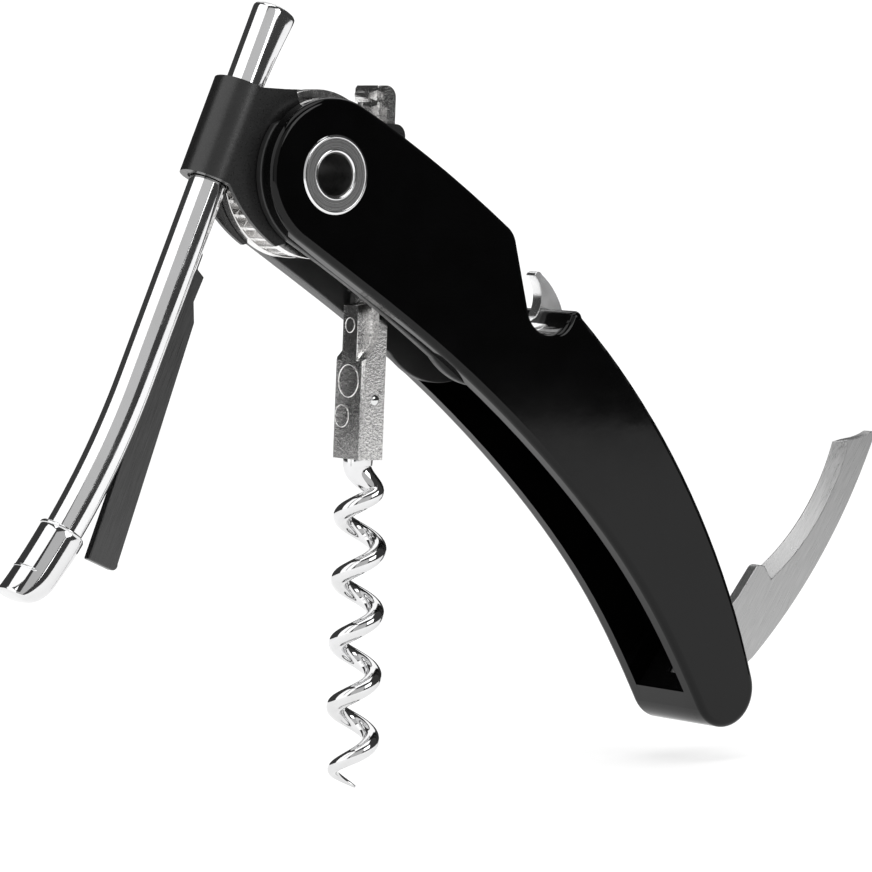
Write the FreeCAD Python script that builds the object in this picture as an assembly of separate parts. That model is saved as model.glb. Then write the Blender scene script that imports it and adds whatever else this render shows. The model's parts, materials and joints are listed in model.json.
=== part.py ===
import FreeCAD, Part
import math
import os
from FreeCAD import Vector

# Rack-and-pinion lever corkscrew, millimetres.
# The origin is the middle of the axle that every arm swings on. +Z is up, +X runs towards the tail
# of the handle and the axle lies along Y. The handle's near side faces -Y.

# --- widths across the tool, each measured from the middle plane ---
TOOTH_GAP_HALF = 2.2
RACK_RIB_HALF = 2.0
DRUM_HALF = 4.1
CHEEK_IN = 4.2
CHEEK_LAP = 4.6
CHEEK_OUT = 5.0
LINER_IN = 5.1
LINER_OUT = 6.5
HANDLE_HALF = 9.5
WASHER_THICK = 0.45

# --- axle and pinion ---
BORE_R = 3.5
AXLE_R = 4.6
WASHER_BEVEL = 0.3
WASHER_R = 6.6
HUB_R = 6.0
KNUCKLE_GAP = 0.05
KNUCKLE_R = 9.0
MODULE = 0.8
TEETH = 32
PITCH_R = MODULE * TEETH / 2
ADDENDUM = MODULE
DEDENDUM = 1.25 * MODULE
RIM_R = 14.1
RIM_GAP = 0.2

# --- handle ---
HEAD_R = 12.8
BACK_START = 62.0
BACK_BULGE = (23.6, 0.5)
CORNER = (38.5, -10.2)
NOTCH_TOP = (41.7, -24.2)
NOTCH_BOTTOM = (45.4, -27.9)
NOTCH_PEAK = (52.4, -24.2)
BACK_MID = (77.5, -54.7)
TAIL = (87.2, -93.1)
TAIL_R = 6.7
EDGE_MID_A = (25.0, -32.3)
EDGE_MID_B = (49.6, -53.4)
EDGE_MID_C = (70.4, -77.8)
EDGE_FILLET = 1.1
LINER_LIP = 0.3
CHANNEL_FRONT = [(36.0, -5.0), (36.3, -14.0), (39.4, -26.4), (45.3, -30.7)]
LIFTER_HALF = 1.2
PIN_DEPTH = 8.2
COVER_PINS = [((38.1, -15.6), 0.8), ((51.2, -28.4), 1.1)]

# --- rack and worm, in the rack's own directions: u away from the axle, s down along the rack ---
RACK_TILT = math.radians(2.8)
TIP_U = PITCH_R - ADDENDUM
ROOT_U = PITCH_R + DEDENDUM
TOOTH_PHASE_S = -1.1
BLOCK_U = 11.4
FLANGE_U = 14.3
BACK_U = 16.1
BLOCK_HALF = 4.1
RACK_TOP_S = -15.4
STOP_HEAD_U = 13.7
STOP_HEAD_S = -12.6
TEETH_END_S = 20.2
RIB_STEP_S = 21.2
BLOCK_TOP_S = 31.0
BLOCK_END_S = 47.6
SHANK_U = (BLOCK_U + BACK_U) / 2
SHANK_DEPTH = 12.0
NECK_U = 14.1
NECK_R = 2.6
NECK_END_S = 48.8
NECK_TIP_S = 52.0
BLOCK_BEVEL = 0.6
RACK_TOP_ROUND = 2.0
CROSS_PIN_R = 0.9
CROSS_PIN_S = 37.5
WIRE_R = 1.5
COIL_R = 3.15
COIL_PITCH = 10.8
COIL_TURNS = 4.65
COIL_U = 15.1
COIL_START_S = 53.7

# --- rack guide, in the rack's own directions ---
GUIDE_BACK_IN = BACK_U + 0.1
GUIDE_BACK_OUT = 17.7
GUIDE_TOP_S = -9.0
GUIDE_END_S = 9.0
GUIDE_ROUND = 2.0
RIVET_R = 0.45
GUIDE_RIVETS = [(GUIDE_BACK_IN + 0.75, -5.5), (GUIDE_BACK_IN + 0.75, 0.0), (GUIDE_BACK_IN + 0.75, 5.5)]

# --- stand, in its own directions: s down along the tube, n towards the axle ---
STAND_TILT = math.radians(24.8)
TUBE_OFFSET = 16.85
TUBE_R = 3.15
TUBE_WALL = 0.5
SLEEVE_R = 5.0
SLEEVE_BORE_R = 3.65
BUSH_BORE_R = 3.2
SLEEVE_TOP_S = -8.1
SLEEVE_END_S = 8.9
BUSH_RECESS = 0.3
TUBE_TOP_S = -22.5
TUBE_BEND_S = 44.0
TUBE_BEND_R = 140.0
TUBE_END_S = 75.0
FOOT_TOP_S = 72.0
FOOT_END_S = 86.2
FOOT_R = 3.85
FOOT_WALL = 1.2
BAR_HALF = 0.8
SLIT_HALF = 0.85

# --- foil knife ---
KNIFE_PIVOT = (87.3, -92.3)
KNIFE_HALF = 1.1
KNIFE_SLOT_HALF = 1.35
TANG_R = 4.6
KNIFE_PIN_R = 1.5


def save(name, shape):
    """Write one node, checked first for being sound."""
    if not shape.isValid():
        print("NOT VALID", name)
    shape.exportStep("parts/" + name + ".step")
    print("%-18s solids %d  volume %.1f" % (name, len(shape.Solids), shape.Volume))


def flat(point, y=0.0):
    """A point of the XZ plane."""
    return Vector(point[0], y, point[1])


def path(start, steps, place=flat):
    """Edges through the steps: a point is a straight run, a pair of points is an arc (middle, end)."""
    edges = []
    here = start
    for step in steps:
        if isinstance(step[0], tuple):
            edges.append(Part.Arc(place(here), place(step[0]), place(step[1])).toShape())
            here = step[1]
        else:
            edges.append(Part.LineSegment(place(here), place(step)).toShape())
            here = step
    return edges


def prism(edges, low, high):
    """Extrude a closed outline drawn in the middle plane from y = low to y = high."""
    face = Part.makeFace(Part.Wire(Part.__sortEdges__(edges)), "Part::FaceMakerBullseye")
    face.translate(Vector(0, low, 0))
    return face.extrude(Vector(0, high - low, 0))


def slab(start, steps, low, high, place=flat):
    """A prism whose outline is closed with a straight run back to its start."""
    return prism(path(start, steps + [start], place), low, high)


def disc(centre, radius, low, high):
    return Part.makeCylinder(radius, high - low, flat(centre, low), Vector(0, 1, 0))


def ring(centre, inner, outer, low, high):
    return disc(centre, outer, low, high).cut(disc(centre, inner, low - 1, high + 1))


def polar(radius, degrees, centre=(0, 0)):
    turn = math.radians(degrees)
    return (centre[0] + radius * math.cos(turn), centre[1] + radius * math.sin(turn))


def tangent_point(point, centre, radius, side):
    """Where the tangent from a point touches a circle, on the left (+1) or right (-1) of the way there."""
    away = math.atan2(point[1] - centre[1], point[0] - centre[0])
    reach = math.hypot(point[0] - centre[0], point[1] - centre[1])
    turn = away - side * math.acos(radius / reach)
    return (centre[0] + radius * math.cos(turn), centre[1] + radius * math.sin(turn))


def mirrored(shape):
    """The same piece on the other side of the middle plane."""
    return shape.mirror(Vector(0, 0, 0), Vector(0, 1, 0))


def on_rack(point, y=0.0):
    """A rack point (u, s) in the tool's frame."""
    u, s = point
    x = u * math.cos(RACK_TILT) - s * math.sin(RACK_TILT)
    z = -u * math.sin(RACK_TILT) - s * math.cos(RACK_TILT)
    return Vector(x, y, z)


def on_stand(point, y=0.0):
    """A stand point (s, n) in the tool's frame, n measured from the tube's straight axis."""
    s, n = point
    away = n - TUBE_OFFSET
    x = away * math.cos(STAND_TILT) - s * math.sin(STAND_TILT)
    z = -away * math.sin(STAND_TILT) - s * math.cos(STAND_TILT)
    return Vector(x, y, z)


# ---------------------------------------------------------------- handle

def handle_edges():
    """The side view of the handle: round head, back, cap-lifter notch, curved back, tail, lower edge."""
    start = polar(HEAD_R, BACK_START)
    corner_in = (CORNER[0] - 1.0, CORNER[1] + 0.68)
    corner_out = (CORNER[0] + 0.35, CORNER[1] - 1.4)
    corner_mid = (CORNER[0] - 0.12, CORNER[1] - 0.35)
    peak_in = (NOTCH_PEAK[0] - 1.3, NOTCH_PEAK[1] - 0.8)
    peak_out = (NOTCH_PEAK[0] + 1.2, NOTCH_PEAK[1] - 1.1)
    tail_back = polar(TAIL_R, 17.0, TAIL)
    tail_low = polar(TAIL_R, -75.0, TAIL)
    tail_edge = polar(TAIL_R, 208.0, TAIL)
    edges = path(start, [
        (BACK_BULGE, corner_in),
        (corner_mid, corner_out),
        NOTCH_TOP,
        (NOTCH_BOTTOM, peak_in),
        (NOTCH_PEAK, peak_out),
        (BACK_MID, tail_back),
        (tail_low, tail_edge),
    ])
    head_edge = polar(HEAD_R, 237.0)
    lower = Part.BSplineCurve()
    run = [tail_edge, EDGE_MID_C, EDGE_MID_B, EDGE_MID_A, head_edge]
    lower.interpolate(
        [flat(point) for point in run],
        InitialTangent=Vector(-0.469, 0, 0.883) * 40,
        FinalTangent=Vector(-0.839, 0, 0.545) * 40,
    )
    edges.append(lower.toShape())
    edges += path(head_edge, [(polar(HEAD_R, 150.0), start)])
    return edges


def side_plate():
    """Near side cover: a thick flat plate with a rounded outer rim, bored for the axle."""
    plate = prism(handle_edges(), -HANDLE_HALF, -LINER_OUT)
    rim = [edge for edge in plate.Edges
           if all(abs(v.y + HANDLE_HALF) < 1e-6 for v in edge.discretize(5))]
    plate = plate.makeFillet(EDGE_FILLET, rim)
    plate = plate.cut(disc((0, 0), AXLE_R, -HANDLE_HALF - 1, 0))
    plate = plate.cut(disc((0, 0), WASHER_R, -HANDLE_HALF - 1, WASHER_THICK / 2 - HANDLE_HALF))
    return plate.cut(pins(COVER_PINS + [(KNIFE_PIVOT, KNIFE_PIN_R)]))


def channel_edges():
    """The open channel that the worm folds into, drawn well past the head and the lower edge."""
    inner_mid = (BACK_MID[0] - 2.5, BACK_MID[1] - 1.5)
    return path(CHANNEL_FRONT[0], CHANNEL_FRONT[1:] + [
        (50.6, -29.9),
        (inner_mid, (88.0, -83.7)),
        (80.2, -92.9),
        (60.0, -100.0),
        (-20.0, -40.0),
        (-20.0, 40.0),
        (36.0, 40.0),
        CHANNEL_FRONT[0],
    ])


def handle_spine():
    """Back of the handle between the covers, with its cap-lifter saddle and its solid tail."""
    spine = prism(handle_edges(), -LINER_OUT, LINER_OUT)
    spine = spine.cut(prism(channel_edges(), -LINER_OUT - 1, LINER_OUT + 1))
    spine = spine.cut(knife_slot())
    spine = spine.cut(cap_lifter())
    return spine.cut(pins(COVER_PINS + [(KNIFE_PIVOT, KNIFE_PIN_R)]))


def knife_slot():
    """Slot along the back that the folded blade sinks into, open round the knife's pivot."""
    half = KNIFE_SLOT_HALF
    round_pivot = disc(KNIFE_PIVOT, TANG_R + 0.4, -half, half)
    along = slab(polar(TANG_R + 0.4, 190.0, KNIFE_PIVOT), [
        (82.0, -76.0),
        (61.5, -41.0),
        (70.0, -30.0),
        (110.0, -70.0),
        (110.0, -100.0),
        polar(TANG_R + 0.4, -80.0, KNIFE_PIVOT),
    ], -half, half)
    return round_pivot.fuse(along)


def liner():
    """Near inner liner: it lines the head and the front of the channel and stands a little proud."""
    lip = HEAD_R + LINER_LIP
    start = polar(lip - 0.9, 60.0)
    steps = [
        (35.6, -10.6),
        (36.3, -14.0),
        (39.4, -26.4),
        (45.3, -30.7),
        ((33.5, -36.6), (22.6, -31.1)),
        ((8.0, -20.6), polar(lip, 237.0)),
        (polar(lip, 190.0), polar(lip, 140.0)),
        polar(lip - 0.9, 132.0),
        (polar(lip - 0.9, 90.0), start),
    ]
    plate = prism(path(start, steps), -LINER_OUT, -LINER_IN)
    return plate.cut(disc((0, 0), AXLE_R, -20, 0))


def cap_lifter():
    """Hooked plate that stands in the notch, its root let into the spine."""
    outline = path((49.4, -18.3), [
        ((50.1, -17.6), (51.0, -18.1)),
        ((53.6, -20.7), (55.6, -24.4)),
        (54.2, -27.5),
        (50.0, -29.6),
        (45.0, -30.3),
        (44.6, -27.6),
        (46.6, -26.9),
        (49.6, -25.4),
        ((50.9, -22.2), (49.4, -18.3)),
    ])
    return prism(outline, -LIFTER_HALF, LIFTER_HALF).cut(pins(COVER_PINS))


# ---------------------------------------------------------------- pinion and axle

def gear_edges():
    """Outline of the pinion: straight-sided teeth on the pitch circle, gaps centred on the rack's teeth."""
    root = PITCH_R - DEDENDUM
    tip = PITCH_R + ADDENDUM
    step = 360.0 / TEETH
    first = -math.degrees(RACK_TILT + TOOTH_PHASE_S / PITCH_R)
    points = []
    for index in range(TEETH):
        middle = first + (index + 0.5) * step
        for radius, share in ((root, -0.33), (tip, -0.13), (tip, 0.13), (root, 0.33)):
            points.append(polar(radius, middle + share * step))
    return path(points[0], points[1:] + [points[0]])


def pinion_drum():
    """Pinion between two shroud rims, with a boss each side for the swinging knuckles."""
    drum = prism(gear_edges(), -TOOTH_GAP_HALF, TOOTH_GAP_HALF)
    drum = drum.fuse(disc((0, 0), RIM_R, -DRUM_HALF, -TOOTH_GAP_HALF))
    drum = drum.fuse(disc((0, 0), RIM_R, TOOTH_GAP_HALF, DRUM_HALF))
    drum = drum.fuse(disc((0, 0), HUB_R, -LINER_IN, LINER_IN))
    return drum.cut(disc((0, 0), AXLE_R, -20, 20))


def axle_sleeve():
    """Hollow axle through the whole tool."""
    half = HANDLE_HALF + WASHER_THICK / 2
    return ring((0, 0), BORE_R, AXLE_R, -half, half)


def axle_washer():
    """Bright ring round the end of the axle, let into the near cover."""
    low = -HANDLE_HALF - WASHER_THICK / 2
    washer = ring((0, 0), AXLE_R, WASHER_R, low, low + WASHER_THICK)
    rim = [edge for edge in washer.Edges
           if abs(edge.CenterOfMass.y - low) < 1e-6 and edge.Length > 2 * math.pi * (WASHER_R - 0.1)]
    return washer.makeChamfer(WASHER_BEVEL, rim)


# ---------------------------------------------------------------- rack guide

def guide_cheek():
    """Near cheek: a thin inner knuckle on the boss, thickening into an arm beside the rack."""
    knuckle = disc((0, 0), KNUCKLE_R, -CHEEK_LAP + KNUCKLE_GAP / 2, -CHEEK_IN)
    corner_mid = GUIDE_ROUND * (1 - math.sqrt(0.5))
    arm = slab((4.0, GUIDE_TOP_S + 2.5), [
        (11.0, GUIDE_TOP_S),
        (GUIDE_BACK_OUT - GUIDE_ROUND, GUIDE_TOP_S),
        ((GUIDE_BACK_OUT - corner_mid, GUIDE_TOP_S + corner_mid), (GUIDE_BACK_OUT, GUIDE_TOP_S + GUIDE_ROUND)),
        (GUIDE_BACK_OUT, GUIDE_END_S),
        (11.0, GUIDE_END_S),
        (4.0, GUIDE_END_S - 2.5),
    ], -CHEEK_OUT, -CHEEK_IN, on_rack)
    arm = arm.cut(disc((0, 0), KNUCKLE_R + 0.1, -20, -CHEEK_LAP + KNUCKLE_GAP / 2))
    cheek = knuckle.fuse(arm).cut(disc((0, 0), HUB_R + KNUCKLE_GAP, -20, 20))
    for centre in GUIDE_RIVETS:
        cheek = cheek.cut(rivet(centre, -20, 0))
    return cheek


def rivet(centre, low, high):
    return Part.makeCylinder(RIVET_R, high - low, on_rack(centre, low), Vector(0, 1, 0))


def guide_back():
    """Wall behind the rack that keeps it in mesh."""
    wall = slab((GUIDE_BACK_IN, GUIDE_TOP_S + GUIDE_ROUND), [
        (GUIDE_BACK_OUT, GUIDE_TOP_S + GUIDE_ROUND),
        (GUIDE_BACK_OUT, GUIDE_END_S),
        (GUIDE_BACK_IN, GUIDE_END_S),
    ], -CHEEK_IN, CHEEK_IN, on_rack)
    for centre in GUIDE_RIVETS:
        wall = wall.cut(rivet(centre, -20, 20))
    return wall


# ---------------------------------------------------------------- rack and worm

def rack_rib():
    """Toothed rib of the rack, from its top end to the shoulders of the block."""
    pitch = math.pi * MODULE
    tips = []
    first = math.ceil((RACK_TOP_S + 1.2 - TOOTH_PHASE_S) / pitch)
    last = math.floor((TEETH_END_S - TOOTH_PHASE_S) / pitch)
    for index in range(first, last + 1):
        middle = index * pitch + TOOTH_PHASE_S
        for u, share in ((ROOT_U, -0.37), (TIP_U, -0.15), (TIP_U, 0.15), (ROOT_U, 0.37)):
            tips.append((u, middle + share * pitch))
    outline = [(FLANGE_U, RACK_TOP_S), (ROOT_U, RACK_TOP_S)] + tips
    outline += [(ROOT_U, RIB_STEP_S), (BLOCK_U, RIB_STEP_S + 0.5)]
    outline += [(BLOCK_U, BLOCK_TOP_S + 1), (FLANGE_U, BLOCK_TOP_S + 1)]
    return slab(outline[0], outline[1:], -RACK_RIB_HALF, RACK_RIB_HALF, on_rack)


def rack():
    """Rack: toothed rib on a wide back flange, ending in the block that holds the worm."""
    round_mid = RACK_TOP_ROUND * (1 - math.sqrt(0.5))
    top_round = ((BACK_U - round_mid, RACK_TOP_S + round_mid), (BACK_U, RACK_TOP_S + RACK_TOP_ROUND))
    flange = slab((FLANGE_U, RACK_TOP_S + 0.3), [
        (BACK_U - RACK_TOP_ROUND, RACK_TOP_S),
        top_round,
        (BACK_U, BLOCK_END_S),
        (FLANGE_U, BLOCK_END_S),
    ], -BLOCK_HALF, BLOCK_HALF, on_rack)
    shoulder = (FLANGE_U, BLOCK_TOP_S - 6.5)
    block = slab(shoulder, [
        ((FLANGE_U - 0.5, BLOCK_TOP_S - 3.0), (BLOCK_U, BLOCK_TOP_S)),
        (BLOCK_U, BLOCK_END_S),
        (FLANGE_U, BLOCK_END_S),
    ], -BLOCK_HALF, BLOCK_HALF, on_rack)
    head = slab((STOP_HEAD_U, RACK_TOP_S + 0.5), [
        (BACK_U - RACK_TOP_ROUND, RACK_TOP_S),
        top_round,
        (BACK_U, STOP_HEAD_S),
        (STOP_HEAD_U, STOP_HEAD_S),
    ], -BLOCK_HALF, BLOCK_HALF, on_rack)
    body = flange.fuse([rack_rib(), block, head]).removeSplitter()
    body = body.makeChamfer(BLOCK_BEVEL, [edge for edge in body.Edges if on_block_corner(edge)])
    socket_top = on_rack((SHANK_U, BLOCK_END_S - SHANK_DEPTH))
    socket = Part.makeCylinder(WIRE_R, 2 * SHANK_DEPTH, socket_top, rack_down())
    return body.cut(socket).cut(cross_pin())


def on_block_corner(edge):
    """Whether an edge of the rack is one of the two long front corners of the block."""
    middle = edge.CenterOfMass
    u = middle.x * math.cos(RACK_TILT) - middle.z * math.sin(RACK_TILT)
    at_corner = abs(u - BLOCK_U) < 1e-3 and abs(abs(middle.y) - BLOCK_HALF) < 1e-3
    return at_corner and edge.Length > 10


def rack_down():
    return on_rack((0, 1)) - on_rack((0, 0))


def cross_pin():
    """Pin through the block that holds the worm's shank."""
    near_end = on_rack((SHANK_U + 0.3, CROSS_PIN_S), -BLOCK_HALF)
    return Part.makeCylinder(CROSS_PIN_R, 2 * BLOCK_HALF, near_end, Vector(0, 1, 0))


def worm():
    """Right-handed wire helix with a straight shank, cut to a slanting point."""
    height = COIL_PITCH * COIL_TURNS
    coil_path = Part.makeHelix(COIL_PITCH, height, COIL_R)
    start = coil_path.Edges[0].valueAt(coil_path.Edges[0].FirstParameter)
    heading = coil_path.Edges[0].tangentAt(coil_path.Edges[0].FirstParameter)
    section = Part.Wire(Part.makeCircle(WIRE_R, start, heading))
    coil = Part.Wire(coil_path).makePipeShell([section], True, True)
    turn = FreeCAD.Rotation(Vector(0, 1, 0), 180 + math.degrees(RACK_TILT))
    turn = turn.multiply(FreeCAD.Rotation(Vector(0, 0, 1), 270))
    place = FreeCAD.Placement(on_rack((COIL_U, COIL_START_S)), turn)
    coil.Placement = place
    top = place.multVec(start)
    shank_end = on_rack((SHANK_U, BLOCK_END_S - SHANK_DEPTH))
    shank = Part.makeCylinder(WIRE_R, SHANK_DEPTH + 0.5, shank_end, rack_down())
    neck = Part.makeCylinder(NECK_R, NECK_END_S - BLOCK_END_S, on_rack((NECK_U, BLOCK_END_S)), rack_down())
    neck_low = on_rack((NECK_U, NECK_END_S))
    cone = Part.makeCone(NECK_R, WIRE_R, NECK_TIP_S - NECK_END_S, neck_low, rack_down())
    link = Part.makeCylinder(WIRE_R, (top - neck_low).Length, neck_low, top - neck_low)
    body = coil.fuse([Part.makeSphere(WIRE_R, top), link, cone, neck, shank])
    return body.cut(cross_pin())


# ---------------------------------------------------------------- stand

def stand_down(turn=0.0):
    """Direction down the tube, turned away from the axle by the bend so far."""
    lean = STAND_TILT + turn
    return Vector(-math.sin(lean), 0, -math.cos(lean))


def bend_point(s, y=0.0):
    """Point of the tube's centre line, and the angle it has bent by."""
    if s <= TUBE_BEND_S:
        return on_stand((s, 0), y), 0.0
    turn = (s - TUBE_BEND_S) / TUBE_BEND_R
    along = TUBE_BEND_S + TUBE_BEND_R * math.sin(turn)
    aside = TUBE_BEND_R * (1 - math.cos(turn))
    return on_stand((along, -aside), y), turn


def tube_between(s_low, s_high, radius):
    """Round bar that follows the stand's centre line."""
    pieces = []
    if s_low < TUBE_BEND_S:
        straight_end = min(s_high, TUBE_BEND_S)
        pieces.append(Part.makeCylinder(radius, straight_end - s_low, bend_point(s_low)[0], stand_down()))
    if s_high > TUBE_BEND_S:
        begin = max(s_low, TUBE_BEND_S)
        first, lean = bend_point(begin)
        centre = on_stand((TUBE_BEND_S, -TUBE_BEND_R))
        section = Part.Face(Part.Wire(Part.makeCircle(radius, first, stand_down(lean))))
        sweep = math.degrees((s_high - begin) / TUBE_BEND_R)
        pieces.append(section.revolve(centre, Vector(0, 1, 0), sweep))
    body = pieces[0]
    for piece in pieces[1:]:
        body = body.fuse(piece)
    return body


def stand_tube():
    """Slit tube: straight through the sleeve, bent at its lower end, its top pressed out as a stop."""
    outside = tube_between(TUBE_TOP_S, TUBE_END_S, TUBE_R)
    top = slab((TUBE_TOP_S, 0.5), [
        (TUBE_TOP_S, 4.6),
        ((TUBE_TOP_S + 8.5, 3.4), (SLEEVE_TOP_S - 0.6, 3.1)),
        (SLEEVE_TOP_S - 0.6, 0.5),
    ], -2.0, 2.0, on_stand)
    outside = outside.fuse(top)
    inside = tube_between(TUBE_TOP_S + 2.0, TUBE_END_S + 1, TUBE_R - TUBE_WALL)
    slit = slab((SLEEVE_TOP_S, 0.0), [
        (SLEEVE_TOP_S, 8.0),
        (TUBE_END_S + 20, 8.0),
        (TUBE_END_S + 20, -3.0),
        (TUBE_END_S - 20, 0.0),
    ], -SLIT_HALF, SLIT_HALF, on_stand)
    return outside.cut(inside).cut(slit)


def stand_foot():
    """Boot on the end of the tube, cut on a slant so that its outer wall hooks over a bottle's rim."""
    boot = tube_between(FOOT_TOP_S, FOOT_END_S, FOOT_R)
    boot = boot.cut(tube_between(FOOT_TOP_S - 1, TUBE_END_S, TUBE_R))
    boot = boot.cut(tube_between(TUBE_END_S - 1, FOOT_END_S - 2.2, FOOT_R - FOOT_WALL))
    slant = slab((75.5, 8.0), [
        (76.3, 1.4),
        ((82.4, -1.9), (85.5, -6.6)),
        (92.0, -7.2),
        (92.0, 8.0),
    ], -8, 8, on_stand)
    toe = slab((83.4, -12.0), [
        (83.9, -10.2),
        (86.6, -8.0),
        (88.0, -12.0),
    ], -8, 8, on_stand)
    return boot.cut(slant).cut(toe)


def rest_bar():
    """Flat bar in the tube's slit: a thin strip above, a stop tab, then the wide rest for the rim."""
    inner_strip = 2.5
    outer_strip = TUBE_R + 0.45
    outline = path((SLEEVE_TOP_S + 1.0, 1.2), [
        (SLEEVE_TOP_S + 1.0, inner_strip),
        (19.6, inner_strip),
        (20.4, outer_strip),
        (23.0, outer_strip),
        (23.7, 5.3),
        (28.2, 5.1),
        (31.3, 6.6),
        (72.9, 8.9),
        ((73.9, 8.8), (74.2, 8.0)),
        (74.2, 3.2),
        (56.5, 2.7),
        (44.0, 1.2),
        (SLEEVE_TOP_S + 1.0, 1.2),
    ], on_stand)
    return prism(outline, -BAR_HALF, BAR_HALF)


def stand_bracket():
    """Sleeve for the tube with a thin ear each side of the pinion, swinging on the axle."""
    length = SLEEVE_END_S - SLEEVE_TOP_S
    sleeve = Part.makeCylinder(SLEEVE_R, length, on_stand((SLEEVE_TOP_S, 0)), stand_down())
    body = sleeve
    for side in (-1, 1):
        low, high = sorted((side * CHEEK_IN, side * CHEEK_OUT))
        web = prism(path(flat_of(on_stand((SLEEVE_TOP_S, 0))), [
            (-4.6, 14.0),
            (-4.3, 12.3),
            (-2.0, 7.0),
            (-2.0, -7.0),
            polar(13.6, 237.0),
            polar(14.8, 232.5),
            ((-13.9, -7.6), flat_of(on_stand((SLEEVE_END_S, 0.9)))),
            flat_of(on_stand((SLEEVE_END_S, 0))),
            flat_of(on_stand((SLEEVE_TOP_S, 0))),
        ]), low, high)
        lap_low, lap_high = sorted((side * (CHEEK_LAP + KNUCKLE_GAP / 2), side * CHEEK_OUT))
        web = web.fuse(disc((0, 0), KNUCKLE_R, lap_low, lap_high))
        inner_low, inner_high = sorted((0, side * (CHEEK_LAP + KNUCKLE_GAP / 2)))
        web = web.cut(disc((0, 0), KNUCKLE_R + 0.1, inner_low, inner_high))
        body = body.fuse(web)
    body = body.cut(disc((0, 0), HUB_R + KNUCKLE_GAP, -20, 20))
    body = body.cut(disc((0, 0), RIM_R + RIM_GAP, -CHEEK_IN, CHEEK_IN))
    bore = Part.makeCylinder(SLEEVE_BORE_R, length + 2, on_stand((SLEEVE_TOP_S - 1, 0)), stand_down())
    return body.cut(bore).cut(bar_way())


def flat_of(vector):
    return (vector.x, vector.z)


def bar_way():
    """Groove inside the sleeve for the thin strip of the bar."""
    return slab((SLEEVE_TOP_S - 1, 0.0), [
        (SLEEVE_TOP_S - 1, 9.0),
        (SLEEVE_END_S + 1, 9.0),
        (SLEEVE_END_S + 1, 0.0),
    ], -SLIT_HALF - 0.2, SLIT_HALF + 0.2, on_stand)


def sleeve_bush():
    """Split lining of the sleeve that the tube slides in."""
    length = SLEEVE_END_S - SLEEVE_TOP_S - 2 * BUSH_RECESS
    start = on_stand((SLEEVE_TOP_S + BUSH_RECESS, 0))
    bush = Part.makeCylinder(SLEEVE_BORE_R, length, start, stand_down())
    bush = bush.cut(Part.makeCylinder(BUSH_BORE_R, length, start, stand_down()))
    opening = slab((SLEEVE_TOP_S - 1, 2.2), [
        (SLEEVE_TOP_S - 1, 9.0),
        (SLEEVE_END_S + 1, 9.0),
        (SLEEVE_END_S + 1, 2.2),
    ], -9, 9, on_stand)
    return bush.cut(opening)


# ---------------------------------------------------------------- foil knife

def knife_edges():
    """Side view of the opened knife: tang, root, thumb step, hollow cutting edge, tip, long back."""
    root = (97.3, -77.8)
    tang_in = tangent_point(root, KNIFE_PIVOT, TANG_R, -1)
    heel = (100.9, -89.2)
    tang_out = tangent_point(heel, KNIFE_PIVOT, TANG_R, 1)
    return path(tang_in, [
        root,
        (101.5, -72.9),
        ((102.4, -72.3), (103.8, -72.6)),
        ((114.6, -63.0), (121.5, -50.8)),
        ((126.3, -50.3), (130.2, -49.3)),
        ((131.0, -49.4), (131.0, -50.2)),
        ((117.6, -72.0), heel),
        tang_out,
        (polar(TANG_R, 205.0, KNIFE_PIVOT), tang_in),
    ])


def knife_blade():
    blade = prism(knife_edges(), -KNIFE_HALF, KNIFE_HALF)
    return blade.cut(disc(KNIFE_PIVOT, KNIFE_PIN_R + 0.03, -20, 20))


def pins(places):
    return Part.Compound([disc(centre, radius, -PIN_DEPTH, PIN_DEPTH) for centre, radius in places])


def main():
    os.makedirs("parts", exist_ok=True)
    cover = side_plate()
    save("handle_cover_near", cover)
    save("handle_cover_far", mirrored(cover))
    save("handle_spine", handle_spine())
    plate = liner()
    save("liner_near", plate)
    save("liner_far", mirrored(plate))
    save("cap_lifter", cap_lifter())
    save("pinion_drum", pinion_drum())
    save("axle_sleeve", axle_sleeve())
    washer = axle_washer()
    save("axle_washer_near", washer)
    save("axle_washer_far", mirrored(washer))
    save("cover_pins", pins(COVER_PINS))
    save("knife_pin", pins([(KNIFE_PIVOT, KNIFE_PIN_R)]))
    cheek = guide_cheek()
    save("guide_cheek_near", cheek)
    save("guide_cheek_far", mirrored(cheek))
    save("guide_back", guide_back())
    save("guide_rivets", Part.Compound([rivet(centre, -CHEEK_OUT, CHEEK_OUT) for centre in GUIDE_RIVETS]))
    save("rack", rack())
    save("worm", worm())
    save("worm_cross_pin", cross_pin())
    save("stand_bracket", stand_bracket())
    save("sleeve_bush", sleeve_bush())
    save("stand_tube", stand_tube())
    save("stand_foot", stand_foot())
    save("rest_bar", rest_bar())
    save("knife_blade", knife_blade())


main()
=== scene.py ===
import json
import math

import bmesh
import bpy
from mathutils import Matrix, Quaternion, Vector


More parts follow.
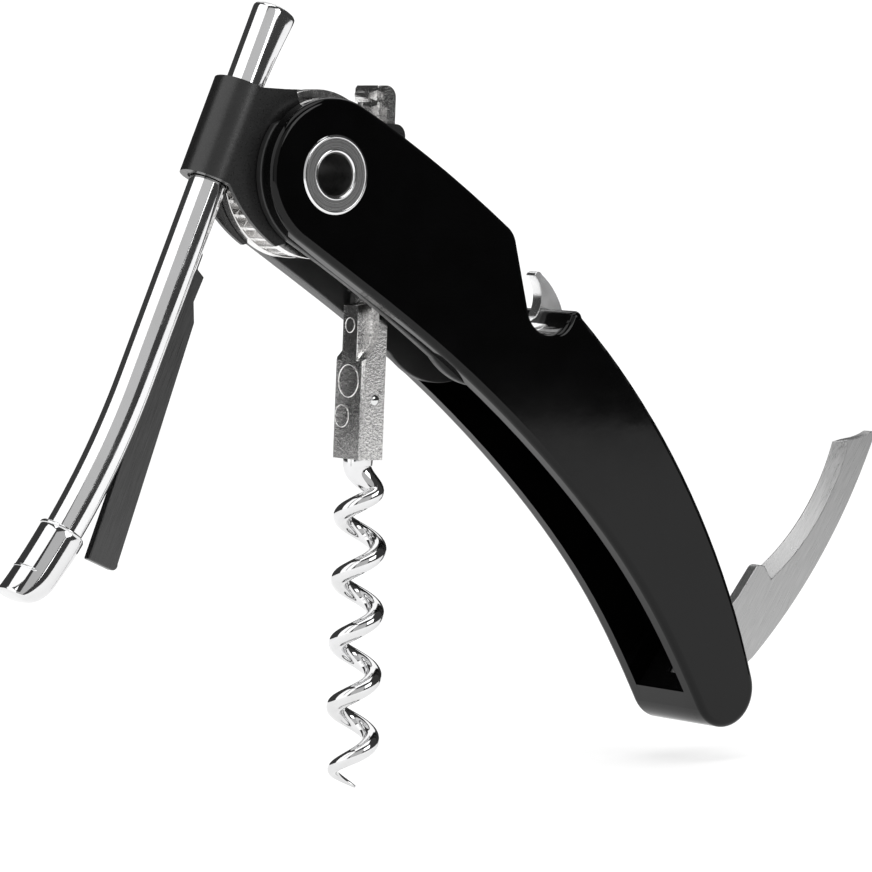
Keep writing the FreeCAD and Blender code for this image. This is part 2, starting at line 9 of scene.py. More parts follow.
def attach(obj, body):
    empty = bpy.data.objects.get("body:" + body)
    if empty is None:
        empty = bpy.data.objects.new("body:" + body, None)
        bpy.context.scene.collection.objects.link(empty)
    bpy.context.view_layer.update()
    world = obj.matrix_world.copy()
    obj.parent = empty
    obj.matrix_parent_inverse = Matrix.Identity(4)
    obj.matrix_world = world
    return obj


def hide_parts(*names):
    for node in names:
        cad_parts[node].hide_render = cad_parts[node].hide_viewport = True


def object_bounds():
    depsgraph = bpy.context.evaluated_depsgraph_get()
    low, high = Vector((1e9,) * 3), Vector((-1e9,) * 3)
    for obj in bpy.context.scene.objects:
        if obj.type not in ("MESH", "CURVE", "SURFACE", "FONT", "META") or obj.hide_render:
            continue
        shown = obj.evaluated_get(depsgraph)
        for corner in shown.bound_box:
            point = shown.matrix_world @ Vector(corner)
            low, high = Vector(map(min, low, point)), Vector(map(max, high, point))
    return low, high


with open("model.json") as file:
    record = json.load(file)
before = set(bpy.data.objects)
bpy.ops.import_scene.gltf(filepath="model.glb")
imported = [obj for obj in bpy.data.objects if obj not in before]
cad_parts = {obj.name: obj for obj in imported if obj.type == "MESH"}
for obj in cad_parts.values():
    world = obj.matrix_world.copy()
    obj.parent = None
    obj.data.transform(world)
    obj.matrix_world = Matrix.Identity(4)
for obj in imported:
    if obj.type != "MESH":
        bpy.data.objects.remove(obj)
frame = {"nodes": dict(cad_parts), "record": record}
CAD_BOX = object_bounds()
MM = 0.001

# ------------------------------------------------------------------ camera

AZIMUTH = math.radians(-38.2)
ELEVATION = math.radians(4.55)
RIGHT = Vector((math.cos(AZIMUTH), math.sin(AZIMUTH), 0.0))
BACK = Vector((
    math.sin(AZIMUTH) * math.cos(ELEVATION),
    -math.cos(AZIMUTH) * math.cos(ELEVATION),
    math.sin(ELEVATION),
))
UP = BACK.cross(RIGHT)
AIM_RIGHT = 22.417
AIM_DOWN = 43.683
AIM = (RIGHT * AIM_RIGHT - UP * AIM_DOWN) * MM
DISTANCE = 0.750
IMAGE_WIDTH = 872
FOCAL_PIXELS = 4500
SENSOR_WIDTH = 36.0


def look(obj, place, back, right):
    """Put a camera or lamp at place with its -Z looking along -back."""
    up = back.cross(right).normalized()
    side = up.cross(back).normalized()
    obj.matrix_world = Matrix((
        (side.x, up.x, back.x, place.x),
        (side.y, up.y, back.y, place.y),
        (side.z, up.z, back.z, place.z),
        (0, 0, 0, 1),
    ))


camera_data = bpy.data.cameras.new("camera")
camera_data.sensor_width = SENSOR_WIDTH
camera_data.lens = FOCAL_PIXELS / IMAGE_WIDTH * SENSOR_WIDTH
camera_data.clip_start = 0.01
camera_data.clip_end = 20
camera = bpy.data.objects.new("camera", camera_data)
bpy.context.scene.collection.objects.link(camera)
look(camera, AIM + BACK * DISTANCE, BACK, RIGHT)
bpy.context.scene.camera = camera


# ------------------------------------------------------------------ materials

def new_material(name, colour, metallic, roughness):
    material = bpy.data.materials.new(name)
    material.use_nodes = True
    shader = material.node_tree.nodes["Principled BSDF"]
    shader.inputs["Base Color"].default_value = (*colour, 1)
    shader.inputs["Metallic"].default_value = metallic
    shader.inputs["Roughness"].default_value = roughness
    return material, shader


def noise(material, scale, stretch=(1, 1, 1), turn=(0, 0, 0), detail=4, rough=0.6):
    """Noise in the piece's own coordinates; scale is features per metre."""
    tree = material.node_tree
    place = tree.nodes.new("ShaderNodeTexCoord")
    rotation = tree.nodes.new("ShaderNodeMapping")
    rotation.inputs["Rotation"].default_value = turn
    mapping = tree.nodes.new("ShaderNodeMapping")
    mapping.inputs["Scale"].default_value = [scale * part for part in stretch]
    texture = tree.nodes.new("ShaderNodeTexNoise")
    texture.inputs["Scale"].default_value = 1
    texture.inputs["Detail"].default_value = detail
    texture.inputs["Roughness"].default_value = rough
    tree.links.new(place.outputs["Object"], rotation.inputs["Vector"])
    tree.links.new(rotation.outputs["Vector"], mapping.inputs["Vector"])
    tree.links.new(mapping.outputs["Vector"], texture.inputs["Vector"])
    return texture.outputs["Fac"]


def vary_roughness(material, shader, value, low, high):
    """Roughness from low to high over the middle of the noise's range."""
    node = material.node_tree.nodes.new("ShaderNodeMapRange")
    node.inputs["From Min"].default_value = 0.3
    node.inputs["From Max"].default_value = 0.7
    node.inputs["To Min"].default_value = low
    node.inputs["To Max"].default_value = high
    material.node_tree.links.new(value, node.inputs["Value"])
    material.node_tree.links.new(node.outputs["Result"], shader.inputs["Roughness"])


def vary_colour(material, shader, value, first, second, start=0.35, end=0.65):
    ramp = material.node_tree.nodes.new("ShaderNodeValToRGB")
    ramp.color_ramp.elements[0].position = start
    ramp.color_ramp.elements[0].color = (*first, 1)
    ramp.color_ramp.elements[1].position = end
    ramp.color_ramp.elements[1].color = (*second, 1)
    material.node_tree.links.new(value, ramp.inputs["Fac"])
    material.node_tree.links.new(ramp.outputs["Color"], shader.inputs["Base Color"])


def bump(material, shader, layers):
    """Stack bump layers, each (height, depth in metres)."""
    tree = material.node_tree
    normal = None
    for height, depth in layers:
        node = tree.nodes.new("ShaderNodeBump")
        node.inputs["Strength"].default_value = 1
        node.inputs["Distance"].default_value = depth
        tree.links.new(height, node.inputs["Height"])
        if normal:
            tree.links.new(normal, node.inputs["Normal"])
        normal = node.outputs["Normal"]
    tree.links.new(normal, shader.inputs["Normal"])


def gloss_black(name, shade, low, high):
    material, shader = new_material(name, (shade, shade, shade * 1.08), 0, low)
    vary_roughness(material, shader, noise(material, 60), low, high)
    lighter = (shade * 1.25, shade * 1.25, shade * 1.35)
    vary_colour(material, shader, noise(material, 180), (shade * 0.8,) * 3, lighter)
    shader.inputs["Specular IOR Level"].default_value = 0.25
    scratches = noise(material, 500, (0.04, 1, 1), (0, math.radians(35), 0), 2)
    bump(material, shader, [(noise(material, 350, detail=2), 2.2e-6), (scratches, 6e-7)])
    return material


def satin_black(name, shade, rough):
    material, shader = new_material(name, (shade,) * 3, 0.0, rough)
    grain = noise(material, 2600, detail=2)
    vary_roughness(material, shader, grain, rough * 0.85, rough * 1.2)
    vary_colour(material, shader, noise(material, 300), (shade * 0.8,) * 3, (shade * 1.2,) * 3)
    bump(material, shader, [(grain, 6e-6), (noise(material, 400, detail=3), 8e-6)])
    shader.inputs["Specular IOR Level"].default_value = 0.6
    return material


def polished(name, shade, low, high, ripple):
    """Plated metal; ripple is the depth of its slow waves in metres."""
    material, shader = new_material(name, (shade,) * 3, 1, low)
    clouds = noise(material, 220)
    vary_roughness(material, shader, clouds, low, high)
    vary_colour(material, shader, noise(material, 90), (shade * 0.94,) * 3, (shade, shade, shade * 1.01))
    waves, grain = noise(material, 160, detail=2), noise(material, 3000, detail=1)
    bump(material, shader, [(waves, ripple), (grain, ripple * 0.08)])
    return material


def cast(name, shade, low, high, depth, size, dark=0.55):
    """Plated rough casting with pits of the given size per metre; its colour darkens in the pits, which is
    painted shade.
    """
    material, shader = new_material(name, (shade,) * 3, 1, low)
    pits = noise(material, size, detail=5, rough=0.7)
    vary_roughness(material, shader, pits, low, high)
    # Painted shade: the colour falls to shade times dark where the pit noise sinks, the same noise that dents
    # the bump.
    vary_colour(material, shader, pits, (shade * dark,) * 3, (shade, shade * 0.99, shade * 0.98), 0.3, 0.55)
    bump(material, shader, [(pits, depth), (noise(material, size * 3, detail=2), depth * 0.3)])
    return material


def brushed(name, shade, low, high, turn):
    """Ground steel with fine lines along the turned X axis."""
    material, shader = new_material(name, (shade,) * 3, 1, low)
    lines = noise(material, 9000, (0.02, 1, 1), turn, 2)
    vary_roughness(material, shader, lines, low, high)
    vary_colour(material, shader, lines, (shade * 0.82,) * 3, (shade * 1.08,) * 3)
    bump(material, shader, [(lines, 2e-6), (noise(material, 130, detail=3), 5e-6)])
    return material


def turned(name, shade, low, high):
    """Lathe-turned steel with fine rings round the axle."""
    material, shader = new_material(name, (shade,) * 3, 1, low)
    tree = material.node_tree
    place = tree.nodes.new("ShaderNodeTexCoord")
    across = tree.nodes.new("ShaderNodeVectorMath")
    across.operation = "MULTIPLY"
    across.inputs[1].default_value = (1, 0, 1)
    reach = tree.nodes.new("ShaderNodeVectorMath")
    reach.operation = "LENGTH"
    texture = tree.nodes.new("ShaderNodeTexNoise")
    texture.noise_dimensions = "1D"
    texture.inputs["Scale"].default_value = 9000
    tree.links.new(place.outputs["Object"], across.inputs[0])
    tree.links.new(across.outputs["Vector"], reach.inputs[0])
    tree.links.new(reach.outputs["Value"], texture.inputs["W"])
    lines = texture.outputs["Fac"]
    vary_roughness(material, shader, lines, low, high)
    vary_colour(material, shader, lines, (shade * 0.75,) * 3, (shade * 1.1,) * 3)
    bump(material, shader, [(lines, 3e-6), (noise(material, 700, detail=2), 2e-6)])
    return material


def along(x, z):
    """Turn that lays the brushing along a direction of the XZ plane."""
    return (0, math.atan2(z, x), 0)


COVER = gloss_black("cover_black", 0.0008, 0.04, 0.1)
SPINE = gloss_black("spine_black", 0.002, 0.08, 0.16)
LINER = satin_black("liner_grey", 0.012, 0.42)
LIFTER = polished("lifter_chrome", 0.9, 0.18, 0.28, 1.2e-5)
BRACKET = satin_black("bracket_black", 0.006, 0.3)
BORE = cast("bore_dark", 0.16, 0.4, 0.6, 8e-6, 700)
TUBE = polished("tube_chrome", 0.84, 0.05, 0.11, 5e-6)
BUSH = satin_black("bush_black", 0.02, 0.5)
CHROME = polished("chrome", 0.74, 0.04, 0.1, 1.1e-5)
# For DRUM and RACK the last number sets how dark the pits are painted, as painted shade; BORE keeps the
# default.
DRUM = cast("drum_chrome", 0.85, 0.1, 0.26, 1.4e-5, 900, 0.8)
RACK = cast("rack_chrome", 0.86, 0.06, 0.14, 3.6e-5, 2250, 0.5)
AXLE = polished("axle_chrome", 0.8, 0.08, 0.16, 2e-6)
FLAT = turned("axle_turned", 0.42, 0.22, 0.34)
KNIFE = brushed("knife_steel", 0.5, 0.26, 0.4, along(0.7, 1.0))
BAR = brushed("bar_steel", 0.1, 0.26, 0.38, along(-0.42, -0.91))
PIN = brushed("pin_steel", 0.35, 0.25, 0.4, (0, 0, 0))

# A node that a piece stands for is hidden, so its look here shows only if that piece is taken out.
LOOKS = {
    "handle_cover_near": COVER,
    "handle_cover_far": COVER,
    "handle_spine": SPINE,
    "liner_near": LINER,
    "liner_far": LINER,
    "cap_lifter": CHROME,
    "pinion_drum": DRUM,
    "axle_sleeve": AXLE,
    "axle_washer_near": AXLE,
    "axle_washer_far": AXLE,
    "cover_pins": PIN,
    "knife_pin": PIN,
    "guide_cheek_near": BRACKET,
    "guide_cheek_far": BRACKET,
    "guide_back": BRACKET,
    "guide_rivets": PIN,
    "rack": RACK,
    "worm": CHROME,
    "worm_cross_pin": CHROME,
    "stand_bracket": BRACKET,
    "sleeve_bush": BUSH,
    "stand_tube": CHROME,
    "stand_foot": CHROME,
    "rest_bar": BAR,
    "knife_blade": KNIFE,
}
for node, material in LOOKS.items():
    data = frame["nodes"][node].data
    data.materials.clear()
    data.materials.append(material)


# ------------------------------------------------------------------ helpers for pieces

def piece(name, mesh, material, body, slot, *nodes):
    """Finish a mesh as a piece that rides on a body and stands for CAD nodes."""
    bmesh.ops.recalc_face_normals(mesh, faces=mesh.faces)
    data = bpy.data.meshes.new(name)
    mesh.to_mesh(data)
    mesh.free()
    data.shade_smooth()
    data.set_sharp_from_angle(angle=math.radians(35))
    obj = bpy.data.objects.new(name, data)
    bpy.context.scene.collection.objects.link(obj)
    data.materials.append(material)
    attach(obj, body)
    if nodes:
        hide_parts(*nodes)
    return obj


def skin(mesh, rings):
    """Faces between rings of equal length."""
    for first, second in zip(rings, rings[1:]):
        for step in range(len(first)):
            following = (step + 1) % len(first)
            mesh.faces.new((first[step], first[following], second[following], second[step]))


def round_edges(obj, width, sharp_angle, bevel_angle):
    """Round over the edges that turn more than bevel_angle; angles in degrees, width in millimetres."""
    obj.data.set_sharp_from_angle(angle=math.radians(sharp_angle))
    edge = obj.modifiers.new("edge", "BEVEL")
    edge.width = width * MM
    edge.segments = 2
    edge.limit_method = "ANGLE"
    edge.angle_limit = math.radians(bevel_angle)
    edge.harden_normals = True
    edge.use_clamp_overlap = True


def sweep(mesh, centres, radii, sides=28):
    """Round tube along the centres with its own radius at each, closed at both ends."""
    rings = []
    heading = (centres[1] - centres[0]).normalized()
    side = heading.orthogonal().normalized()
    for index, centre in enumerate(centres):
        before = centres[max(index - 1, 0)]
        after = centres[min(index + 1, len(centres) - 1)]
        new_heading = (after - before).normalized()
        side.rotate(heading.rotation_difference(new_heading))
        heading = new_heading
        ring = []
        for step in range(sides):
            spoke = Quaternion(heading, math.tau * step / sides) @ side
            ring.append(mesh.verts.new(centre + spoke * radii[index]))
        rings.append(ring)
    skin(mesh, rings)
    mesh.faces.new(rings[0])
    mesh.faces.new(rings[-1])


# ------------------------------------------------------------------ worm

# The rack and the worm lean by TILT; u runs across the rack and s down it, from the axle.
TILT = math.radians(2.8)
ACROSS = Vector((math.cos(TILT), 0, -math.sin(TILT)))
DOWN = Vector((-math.sin(TILT), 0, -math.cos(TILT)))


def on_rack(u, s, y=0.0):
    return (ACROSS * u + DOWN * s + Vector((0, y, 0))) * MM


def curve_between(start, first, second, end, steps):
    """Points of a cubic curve, without its first point."""
    points = []
    for index in range(1, steps + 1):
        t = index / steps
        k = 1 - t
        points.append(start * k ** 3 + first * 3 * k * k * t + second * 3 * k * t * t + end * t ** 3)
    return points


def worm():
    """Wide neck at the block, a link that swings out to the helix, and a helix with a ground point."""
    coil_u, coil_s, coil_r, wire_r = 15.1, 51.0, 3.15, 1.5
    pitch, first_turn, turns, taper, steps = 10.8, 0.25, 4.9, 0.7, 48
    neck_u, neck_r, link_steps, tip_r = 14.1, 2.6, 16, 0.18

    def helix(turn):
        angle = math.tau * turn
        return on_rack(coil_u + coil_r * math.cos(angle), coil_s + pitch * turn, -coil_r * math.sin(angle))

    heading = (helix(first_turn + 0.01) - helix(first_turn - 0.01)).normalized()
    neck = [on_rack(neck_u, s) for s in (47.6, 48.2, 48.8)]
    joined = helix(first_turn)
    link = curve_between(neck[-1], on_rack(neck_u, coil_s), joined - heading * 2.4 * MM, joined, link_steps)
    centres = neck + link
    radii = [neck_r, neck_r, 2.55]
    radii += [wire_r + 1.05 * (1 - (index + 1) / link_steps) ** 1.6 for index in range(link_steps)]
    for index in range(1, int((turns - first_turn) * steps) + 1):
        turn = first_turn + index / steps
        left = turns - turn
        centres.append(helix(turn))
        radii.append(wire_r if left > taper else tip_r + (wire_r - tip_r) * (left / taper) ** 0.75)
    mesh = bmesh.new()
    sweep(mesh, centres, [radius * MM for radius in radii])
    piece("worm_wire", mesh, CHROME, "rack", "chrome", "worm")


worm()


# ------------------------------------------------------------------ turned axle

def lathe(mesh, profile, steps=96):
    """Closed profile of (radius, y) in millimetres turned round the axle."""
    rings = []
    for index in range(steps):
        angle = math.tau * index / steps
        rings.append([
            mesh.verts.new(Vector((r * math.cos(angle), y, r * math.sin(angle))) * MM) for r, y in profile
        ])
    for index, ring in enumerate(rings):
        beside = rings[(index + 1) % steps]
        for step in range(len(profile)):
            following = (step + 1) % len(profile)
            mesh.faces.new((ring[step], ring[following], beside[following], beside[step]))


def both_ends(half_profile):
    """Profile from the middle plane out to the near end, mirrored to the far end."""
    return half_profile + [(r, -y) for r, y in reversed(half_profile)]


rings = bmesh.new()
lathe(rings, both_ends([
    (3.62, -0.2), (3.62, -9.3), (3.72, -9.55), (3.86, -9.68), (4.05, -9.72), (4.2, -9.66), (4.26, -9.54),
    (4.27, -9.4), (6.0, -9.4), (6.02, -9.58), (6.1, -9.69), (6.22, -9.725), (6.38, -9.69), (6.6, -9.5),
    (6.6, -9.28), (4.6, -9.28), (4.6, -0.2),
]))
piece("axle_rings", rings, AXLE, "handle", "axle", "axle_sleeve", "axle_washer_near", "axle_washer_far")
for side, name in ((1, "near"), (-1, "far")):
    flat = bmesh.new()
    lathe(flat, [(r, -y * side) for r, y in (
        (4.3, 9.38), (4.3, 9.56), (5.97, 9.56), (5.97, 9.38))])
    piece("axle_flat_" + name, flat, FLAT, "handle", "axle")
bore = bmesh.new()
lathe(bore, both_ends([(3.5, -0.2), (3.5, -9.35), (3.6, -9.45), (3.64, -9.35), (3.64, -0.2)]))
piece("axle_bore_wall", bore, BORE, "handle", "axle")


# ------------------------------------------------------------------ stand tube and foot

# The tube leans by LEAN and its straight axis passes TUBE_AWAY from the axle.
LEAN = math.radians(24.8)
TUBE_AWAY = 16.85
TUBE_R = 3.15
TOP_END_S = -8.1
TUBE_END_S = 75.0
BEND_S = 44.0
BEND_R = 140.0


def on_stand(s, n, y=0.0):
    """A stand point in metres: s down the tube, n from its straight axis towards the worm."""
    away = n - TUBE_AWAY
    return Vector((
        away * math.cos(LEAN) - s * math.sin(LEAN),
        y,
        -away * math.sin(LEAN) - s * math.cos(LEAN),
    )) * MM


def on_bend(s, n, y=0.0):
    """The same with the bend: below BEND_S the tube curves away from the worm on a BEND_R radius."""
    if s <= BEND_S:
        return on_stand(s, n, y)
    turn = (s - BEND_S) / BEND_R
    reach = BEND_R + n
    return on_stand(BEND_S + reach * math.sin(turn), reach * math.cos(turn) - BEND_R, y)


def tube_top(mesh):
    """Solid rounded top of the tube, swelling towards the worm."""
    sides = 56
    rings = []
    for s, size, flare in (
        (-22.5, 0.72, 4.35), (-22.44, 0.84, 4.5), (-22.28, 0.93, 4.58), (-22.0, 0.985, 4.6), (-21.5, 1, 4.55),
        (-20.0, 1, 4.35), (-18.0, 1, 4.05), (-16.0, 1, 3.8), (-14.0, 1, 3.58), (-12.0, 1, 3.4),
        (-10.5, 1, 3.27), (-9.2, 1, 3.18), (TOP_END_S, 1, TUBE_R),
    ):
        ring = []
        for step in range(sides):
            angle = math.tau * step / sides
            reach = flare if math.cos(angle) > 0 else TUBE_R
            ring.append(mesh.verts.new(on_stand(
                s, reach * size * math.cos(angle), TUBE_R * size * math.sin(angle))))
        rings.append(ring)
    skin(mesh, rings)
    mesh.faces.new(rings[0])
    mesh.faces.new(rings[-1])


def tube_body(mesh):
    """Slit tube with a real wall, from the top's end down to the boot."""
    wall, slit, sides, steps = 0.5, 0.85, 44, 63
    rings = []
    for index in range(steps + 1):
        s = TOP_END_S + (TUBE_END_S - TOP_END_S) * index / steps
        ring = []
        for radius, order in ((TUBE_R, 1), (TUBE_R - wall, -1)):
            gap = math.asin(slit / radius)
            turns = [gap + (math.tau - 2 * gap) * step / sides for step in range(sides + 1)][::order]
            for angle in turns:
                ring.append(mesh.verts.new(on_bend(s, radius * math.cos(angle), radius * math.sin(angle))))
        rings.append(ring)
    skin(mesh, rings)
    mesh.faces.new(rings[0])
    mesh.faces.new(rings[-1])


tube = bmesh.new()
tube_top(tube)
tube_body(tube)
piece("stand_tube_skin", tube, TUBE, "stand", "chrome", "stand_tube")


def band(mesh, s, radius, wire, start, end, lean=0.0):
    """Raised bead round the boot at s, between two angles counted from the worm's side."""
    steps = 48
    centres = []
    for index in range(steps + 1):
        angle = math.radians(start + (end - start) * index / steps)
        out = radius * math.cos(angle)
        centres.append(on_bend(s + lean * out / radius, out, radius * math.sin(angle)))
    sweep(mesh, centres, [wire * MM * min(1, (0.35 + min(i, steps - i) / 5)) for i in range(steps + 1)], 12)


beads = bmesh.new()
band(beads, 72.25, 3.72, 0.34, 62, 298)
band(beads, 80.6, 3.68, 0.3, 122, 238, -0.4)
piece("foot_beads", beads, CHROME, "stand", "chrome")


def foot():
    """Boot that closes the tube: round above, scooped on the worm's side, drawn out to a rounded toe."""
    mesh = bmesh.new()
    sides, plain, end, radius = 72, 80.2, 86.1, 3.85
    toe_steps, toe_rise = 22, 5.4
    rows = [(72.0, -TUBE_R, TUBE_R, TUBE_R), (72.0, -3.7, 3.7, 3.7), (72.3, -radius, radius, radius)]
    rows += [(73.5 + index * 0.9, -radius, radius, radius) for index in range(8)]
    for index in range(toe_steps):
        t = (index + 1) / toe_steps
        forward = math.sin(t * math.pi / 2)
        fall = 1 - math.cos(t * math.pi / 2)
        rounding = max(0.0, (t - 0.72) / 0.28) ** 2
        rows.append((
            plain + (end - plain) * forward,
            -radius + 1.0 * rounding,
            radius - toe_rise * fall,
            radius * (1 - 0.22 * fall) * (1 - 0.3 * rounding),
        ))
    rings = []
    for s, low, high, half in rows:
        middle, reach = (low + high) / 2, (high - low) / 2
        scoop = 0.3 * max(0.0, math.sin(math.pi * min(1, max(0, (s - 75.5) / 10.4))))
        ring = []
        for step in range(sides):
            angle = math.tau * step / sides
            turned_by = min(angle, math.tau - angle)
            dent = 1 - scoop * math.exp(-((turned_by / 0.62) ** 2))
            ring.append(mesh.verts.new(on_bend(
                s, middle + reach * math.cos(angle) * dent, half * math.sin(angle))))
        rings.append(ring)
    skin(mesh, rings)
    mesh.faces.new(rings[0])
    mesh.faces.new(rings[-1])
    piece("foot_boot", mesh, CHROME, "stand", "chrome", "stand_foot")


foot()


# ------------------------------------------------------------------ foil knife

def centre_of(a, b, c):
    """Centre of the circle through three points of the XZ plane."""
    d = 2 * (a[0] * (b[1] - c[1]) + b[0] * (c[1] - a[1]) + c[0] * (a[1] - b[1]))
    sa, sb, sc = (p[0] ** 2 + p[1] ** 2 for p in (a, b, c))
    x = (sa * (b[1] - c[1]) + sb * (c[1] - a[1]) + sc * (a[1] - b[1])) / d
    z = (sa * (c[0] - b[0]) + sb * (a[0] - c[0]) + sc * (b[0] - a[0])) / d
    return (x, z)


def arc_through(a, b, c, steps):
    """Points along the arc from a by way of b to c."""
    x, z = centre_of(a, b, c)
    turns = [math.atan2(p[1] - z, p[0] - x) for p in (a, b, c)]
    whole = (turns[2] - turns[0]) % math.tau
    if (turns[1] - turns[0]) % math.tau > whole:
        whole -= math.tau
    radius = math.hypot(a[0] - x, a[1] - z)
    angles = [turns[0] + whole * i / steps for i in range(steps + 1)]
    return [(x + radius * math.cos(angle), z + radius * math.sin(angle)) for angle in angles]


def knife():
    """Opened foil knife: flat tang and body, hollow edge ground down in a band along its whole length."""
    half, thin, band_width, pivot, tang = 1.1, 0.14, 3.0, (87.3, -92.3), 4.6
    heel, belly, tip, corner = (103.8, -72.6), (114.6, -63.0), (121.5, -50.8), (131.0, -50.2)
    edge = arc_through(heel, belly, tip, 36)
    x, z = centre_of(heel, belly, tip)
    ground = []
    for px, pz in edge:
        reach = math.hypot(px - x, pz - z)
        grow = (reach + band_width) / reach
        ground.append((x + (px - x) * grow, z + (pz - z) * grow))
    ground[-1] = (tip[0] + band_width, tip[1] + 0.25)
    tang_round = [
        (pivot[0] + tang * math.cos(math.radians(a)), pivot[1] + tang * math.sin(math.radians(a)))
        for a in range(318, 131, -6)
    ]
    rest = arc_through((125.9, -50.4), (127.4, -50.2), (130.2, -49.3), 8)
    rest += arc_through((130.7, -49.3), (130.95, -49.6), corner, 4)
    rest += arc_through(corner, (117.6, -72.0), (100.9, -89.2), 40)[1:]
    rest += tang_round + [(97.3, -77.8), (101.5, -72.9), (102.0, -72.45), (102.6, -72.3)]
    mesh = bmesh.new()

    def row(points, y):
        return [mesh.verts.new(Vector((px, y, pz)) * MM) for px, pz in points]

    flats, grounds, edges = [], [], []
    for side in (-1, 1):
        flats.append(row(rest + [heel], side * half))
        grounds.append(row(ground, side * half))
        edges.append(row(edge, side * thin))
        mesh.faces.new(flats[-1] + grounds[-1])
        for i in range(len(edge) - 1):
            mesh.faces.new((grounds[-1][i], grounds[-1][i + 1], edges[-1][i + 1], edges[-1][i]))
        mesh.faces.new((flats[-1][-1], grounds[-1][0], edges[-1][0]))
    for first, second in ((flats[0], flats[1]), (edges[0], edges[1])):
        for i in range(len(first) - 1):
            mesh.faces.new((first[i], first[i + 1], second[i + 1], second[i]))
    mesh.faces.new((flats[0][-1], edges[0][0], edges[1][0], flats[1][-1]))
    mesh.faces.new((grounds[0][-1], edges[0][-1], edges[1][-1], grounds[1][-1]))
    mesh.faces.new((grounds[0][-1], flats[0][0], flats[1][0], grounds[1][-1]))
    round_edges(piece("knife_ground", mesh, KNIFE, "knife", "steel", "knife_blade"), 0.22, 12, 15)


knife()


# ------------------------------------------------------------------ softened copies of machined parts

def owner(node):
    return next(body for body, nodes in frame["record"]["behaviour"]["bodies"].items() if node in nodes)


def slot_of(node):
    return next(row["material_slot"] for row in frame["record"]["subparts"] if row["node"] == node)


def softened(node, width, material):
    """The node's own shape with its sharp edges rounded over, standing for the node."""
    mesh = bmesh.new()
    mesh.from_mesh(frame["nodes"][node].data)
    bmesh.ops.remove_doubles(mesh, verts=mesh.verts, dist=2e-6)
    bmesh.ops.dissolve_limit(mesh, angle_limit=math.radians(0.5), verts=mesh.verts, edges=mesh.edges)
    obj = piece(node + "_soft", mesh, material, owner(node), slot_of(node), node)
    round_edges(obj, width, 32, 32)


for node, width, material in (
    ("rack", 0.22, RACK),
    ("cap_lifter", 0.5, LIFTER),
    ("rest_bar", 0.22, BAR),
    ("stand_bracket", 0.25, BRACKET),
    ("guide_cheek_near", 0.2, BRACKET),
    ("guide_cheek_far", 0.2, BRACKET),
    ("guide_back", 0.2, BRACKET),
    ("liner_near", 0.22, LINER),
    ("liner_far", 0.22, LINER),
    ("pinion_drum", 0.14, DRUM),
):
    softened(node, width, material)


# ------------------------------------------------------------------ cap-lifter seat

def seat_strip():
    """Bright curved seat on the floor of the notch, at the lifter's root."""
    mesh = bmesh.new()
    centre, reach, steps, start, end = Vector((46.0, 0, -23.4)), 4.05, 26, 192, 308

    def point(spoke, distance, y):
        return mesh.verts.new((centre + spoke * distance) * MM + Vector((0, y, 0)) * MM)

    rings = []
    for index in range(steps + 1):
        angle = math.radians(start + (end - start) * index / steps)
        spoke = Vector((math.cos(angle), 0, math.sin(angle)))
        swell = 0.3 * math.sin(math.pi * index / steps)
        ring = []
        for y, depth in ((-5.6, 0.0), (-5.3, 0.25), (-2.0, 0.55), (2.0, 0.55), (5.3, 0.25), (5.6, 0.0)):
            ring.append(point(spoke, reach - depth * (0.5 + swell), y))
        for y in (5.6, -5.6):
            ring.append(point(spoke, reach + 0.3, y))
        rings.append(ring)
    skin(mesh, rings)
    mesh.faces.new(rings[0])
    mesh.faces.new(rings[-1])
    piece("cap_lifter_seat", mesh, LIFTER, "handle", "chrome")


seat_strip()


# ------------------------------------------------------------------ cross pin and raised rings of the rack

PIN_U, PIN_S = 14.05, 37.5
RACK_FACE_U = 11.43

pin = bmesh.new()
pin_ends = [(4.36, 0.12), (4.34, 0.4), (4.27, 0.66), (4.1, 0.88)]
sweep(
    pin,
    [on_rack(PIN_U, PIN_S, -y) for y, r in pin_ends] + [on_rack(PIN_U, PIN_S, y) for y, r in pin_ends[::-1]],
    [r * MM for y, r in pin_ends + pin_ends[::-1]])
piece("worm_pin_domed", pin, CHROME, "rack", "dark_steel", "worm_cross_pin")


def raised_ring(mesh, s, y, radius, wire):
    """Ring of wire lying on the rack's face, with its centre at s and y."""
    steps = 48
    centres = []
    for index in range(steps + 1):
        angle = math.tau * index / steps
        centres.append(on_rack(RACK_FACE_U, s + radius * math.sin(angle), y + radius * math.cos(angle)))
    sweep(mesh, centres, [wire * MM] * (steps + 1), 10)


marks = bmesh.new()
for s, y, radius, wire in ((34.4, 0.0, 2.75, 0.14), (40.4, 1.5, 1.9, 0.12), (25.0, 0.1, 1.25, 0.12)):
    raised_ring(marks, s, y, radius, wire)
piece("rack_rings", marks, RACK, "rack", "cast_chrome")


# ------------------------------------------------------------------ stage

FLOOR_R = 0.85
FLOOR_GLOW = 0.56
BACKDROP_STRENGTH = 1.1
REFLECTED_STRENGTH = 0.05
FILL_STRENGTH = 0.6


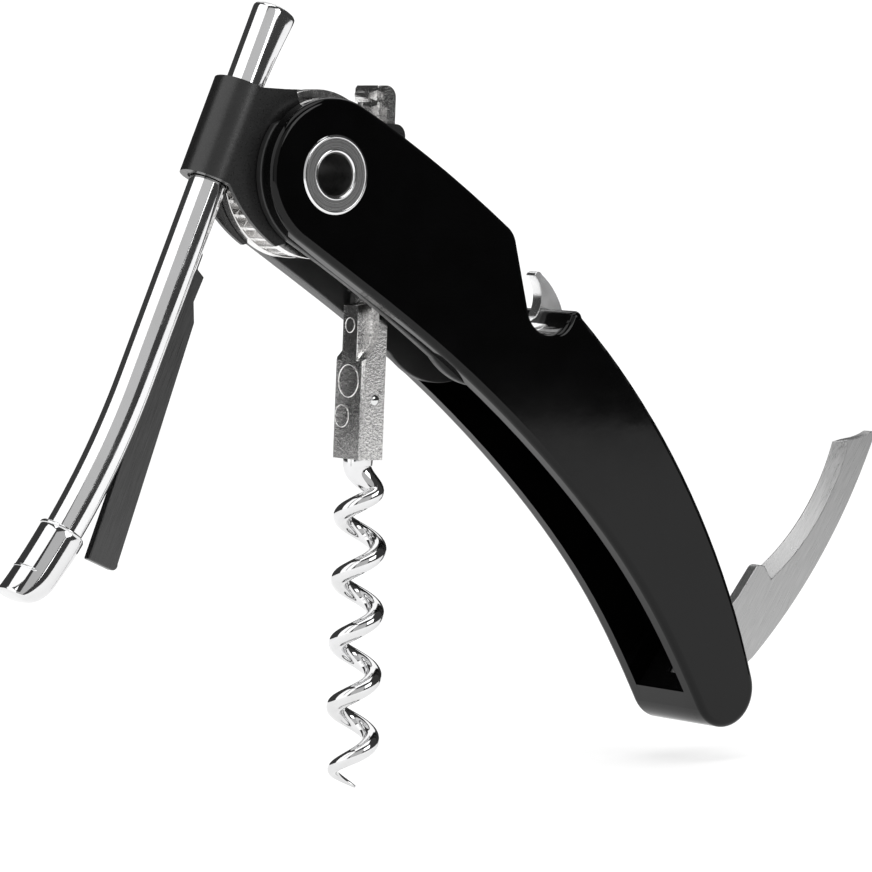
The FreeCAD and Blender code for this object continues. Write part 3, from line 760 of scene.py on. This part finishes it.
def pale_floor():
    """Pale glowing disc at the lowest level of the tool."""
    mesh = bmesh.new()
    bmesh.ops.create_circle(mesh, cap_ends=True, segments=128, radius=FLOOR_R)
    data = bpy.data.meshes.new("floor")
    mesh.to_mesh(data)
    mesh.free()
    floor = bpy.data.objects.new("floor", data)
    bpy.context.scene.collection.objects.link(floor)
    floor.location = (0, 0, CAD_BOX[0][2])
    material, shader = new_material("floor_pale", (0.9, 0.9, 0.9), 0, 0.6)
    vary_colour(material, shader, noise(material, 3), (0.50, 0.50, 0.50), (0.52, 0.52, 0.52))
    shader.inputs["Emission Color"].default_value = (1, 1, 1, 1)
    shader.inputs["Emission Strength"].default_value = FLOOR_GLOW
    shader.inputs["Specular IOR Level"].default_value = 0.05
    data.materials.append(material)


def white(background, strength):
    background.inputs["Color"].default_value = (1, 1, 1, 1)
    background.inputs["Strength"].default_value = strength
    return background.outputs["Background"]


def by_ray(tree, ray, otherwise, for_ray):
    """One light for a kind of ray and another for the rest."""
    mix = tree.nodes.new("ShaderNodeMixShader")
    tree.links.new(ray, mix.inputs["Fac"])
    tree.links.new(otherwise, mix.inputs[1])
    tree.links.new(for_ray, mix.inputs[2])
    return mix.outputs["Shader"]


def studio_world():
    """White behind the tool, dark in its reflections, and an even fill on everything else."""
    world = bpy.data.worlds.new("studio")
    bpy.context.scene.world = world
    world.use_nodes = True
    tree = world.node_tree
    backdrop = white(tree.nodes["Background"], BACKDROP_STRENGTH)
    room = white(tree.nodes.new("ShaderNodeBackground"), REFLECTED_STRENGTH)
    fill = white(tree.nodes.new("ShaderNodeBackground"), FILL_STRENGTH)
    rays = tree.nodes.new("ShaderNodeLightPath")
    unseen = by_ray(tree, rays.outputs["Is Glossy Ray"], fill, room)
    seen = by_ray(tree, rays.outputs["Is Camera Ray"], unseen, backdrop)
    tree.links.new(seen, tree.nodes["World Output"].inputs["Surface"])


pale_floor()
studio_world()
bpy.context.scene.view_settings.view_transform = "Standard"


def softbox(name, azimuth, elevation, distance, width, height, power):
    """Area lamp on a circle round the tool; azimuth 0 is the camera's side, positive to its right."""
    data = bpy.data.lights.new(name, "AREA")
    data.shape = "RECTANGLE"
    data.size = width
    data.size_y = height
    data.energy = power
    lamp = bpy.data.objects.new(name, data)
    bpy.context.scene.collection.objects.link(lamp)
    turn = AZIMUTH - math.pi / 2 + math.radians(azimuth)
    lift = math.radians(elevation)
    out = Vector((math.cos(turn) * math.cos(lift), math.sin(turn) * math.cos(lift), math.sin(lift)))
    look(lamp, AIM + out * distance, out, Vector((-math.sin(turn), math.cos(turn), 0)))


softbox("left_box", -58, 26, 1.0, 1.15, 1.3, 6.6)
softbox("front_card", 9, 18, 1.3, 1.35, 1.2, 2.7)
softbox("right_box", 54, 26, 1.0, 0.5, 0.45, 2.2)
softbox("top_box", 20, 80, 1.0, 0.9, 0.6, 3.0)
softbox("back_box", 176, 48, 1.0, 0.9, 0.6, 2.2)
